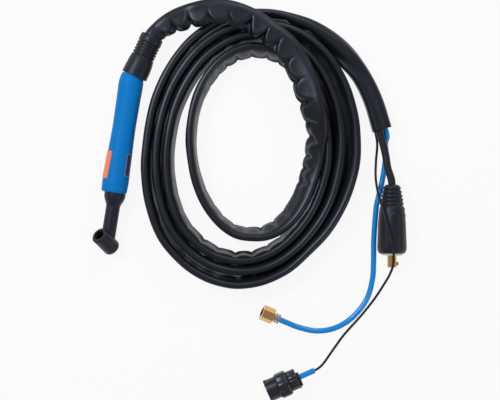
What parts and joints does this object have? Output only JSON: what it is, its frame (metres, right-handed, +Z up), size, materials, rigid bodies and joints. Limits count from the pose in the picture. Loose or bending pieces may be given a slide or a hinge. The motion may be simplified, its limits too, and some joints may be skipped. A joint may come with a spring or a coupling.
{
  "type": "TIG torch with cable set",
  "caption": "Air-cooled TIG torch: ball-jointed blue handle with trigger, a coiled flat sheath, and its power plug, gas hose with nut and control plug.",
  "frame": {"origin": "On the bench, under the middle of the handset's box, without the cables", "axes": "+Z up off the bench; the handset lies along Y with its head towards -Y; the coil lies on the +X side"},
  "size_m": [0.4367, 0.5432, 0.0586],
  "materials": {
    "handle_blue": "satin",
    "trigger_orange": "satin",
    "plate_grey": "satin",
    "rubber_black": "matt",
    "plastic_black": "satin",
    "nylon_black": "satin",
    "nylon_white": "satin",
    "sheath_fabric": "matt",
    "hose_blue": "gloss",
    "sleeve_blue": "satin",
    "brass": "machined",
    "copper": "drawn copper",
    "steel": "zinc plated"
  },
  "bodies": {
    "cable_set": {"bend_boot": "rubber_black", "swivel_ball": "nylon_black", "sheath_tie": "nylon_white", "sheath_lead": "sheath_fabric", "sheath_coil": "sheath_fabric", "sheath_tail": "sheath_fabric", "power_cable": "rubber_black", "plug_boot": "rubber_black", "plug_pin": "brass", "plug_sleeve": "copper", "plug_screw": "steel", "gas_hose": "hose_blue", "hose_ferrule": "steel", "hose_nipple": "brass", "nut_seal": "rubber_black", "control_cable": "rubber_black", "cable_sleeve": "sleeve_blue", "backshell": "plastic_black", "clamp_saddle": "plastic_black", "clamp_screws": "steel", "connector_shell": "plastic_black", "contact_insert": "plastic_black", "contacts": "brass"},
    "gas_nut": {"gas_nut": "brass"},
    "coupling_ring": {"coupling_ring": "plastic_black"},
    "front_seat": {"front_seat_ring": "nylon_white"},
    "rear_seat": {"rear_seat_ring": "nylon_white"},
    "handset": {"handle_upper": "handle_blue", "handle_lower": "handle_blue", "handle_screws": "steel", "rating_plate": "plate_grey", "head_cover": "rubber_black", "torch_body": "brass", "neck_tube": "copper", "lead_block": "brass", "power_lead": "copper", "gas_tube": "rubber_black", "switch_lead": "plastic_black", "switch_case": "plastic_black", "trigger_pin": "steel", "trigger_spring": "steel"},
    "trigger": {"trigger": "trigger_orange"},
    "switch_plunger": {"switch_plunger": "trigger_orange"}
  },
  "joints": [
    {"name": "ball_swing", "type": "hinge", "parent": "cable_set", "child": "front_seat", "pos_m": [0, 0.11577, 0.0185], "axis": [0, 0, 1], "range_deg": [-34, 2]},
    {"name": "ball_tilt", "type": "hinge", "parent": "front_seat", "child": "rear_seat", "pos_m": [0, 0.11577, 0.0185], "axis": [-1, 0, 0], "range_deg": [0, 12]},
    {"name": "ball_twist", "type": "hinge", "parent": "rear_seat", "child": "handset", "pos_m": [0, 0.11577, 0.0185], "axis": [0, -1, 0], "range_deg": [-60, 60]},
    {"name": "trigger_press", "type": "hinge", "parent": "handset", "child": "trigger", "pos_m": [-0.01005, 0.01387, 0.02297], "axis": [0.4067, 0, 0.9135], "range_deg": [0, 3.5], "stiffness_Nm_per_rad": 1.2, "springref_deg": -2.86, "deforming": ["trigger_spring"]},
    {"name": "plunger_press", "type": "slide", "parent": "handset", "child": "switch_plunger", "axis": [0.9135, 0, -0.4067], "range_m": [0, 0.0012]},
    {"name": "gas_nut_turn", "type": "hinge", "parent": "cable_set", "child": "gas_nut", "pos_m": [0.248, -0.1785, 0.0095], "axis": [-0.9513, 0.2549, 0.1736], "continuous": true},
    {"name": "coupling_ring_turn", "type": "hinge", "parent": "cable_set", "child": "coupling_ring", "pos_m": [0.2977, -0.255, 0.0185], "axis": [-0.8387, -0.5446, 0], "continuous": true}
  ],
  "couplings": [
    {"joint": "plunger_press", "follows": "trigger_press", "m_per_rad": 0.0192}
  ]
}
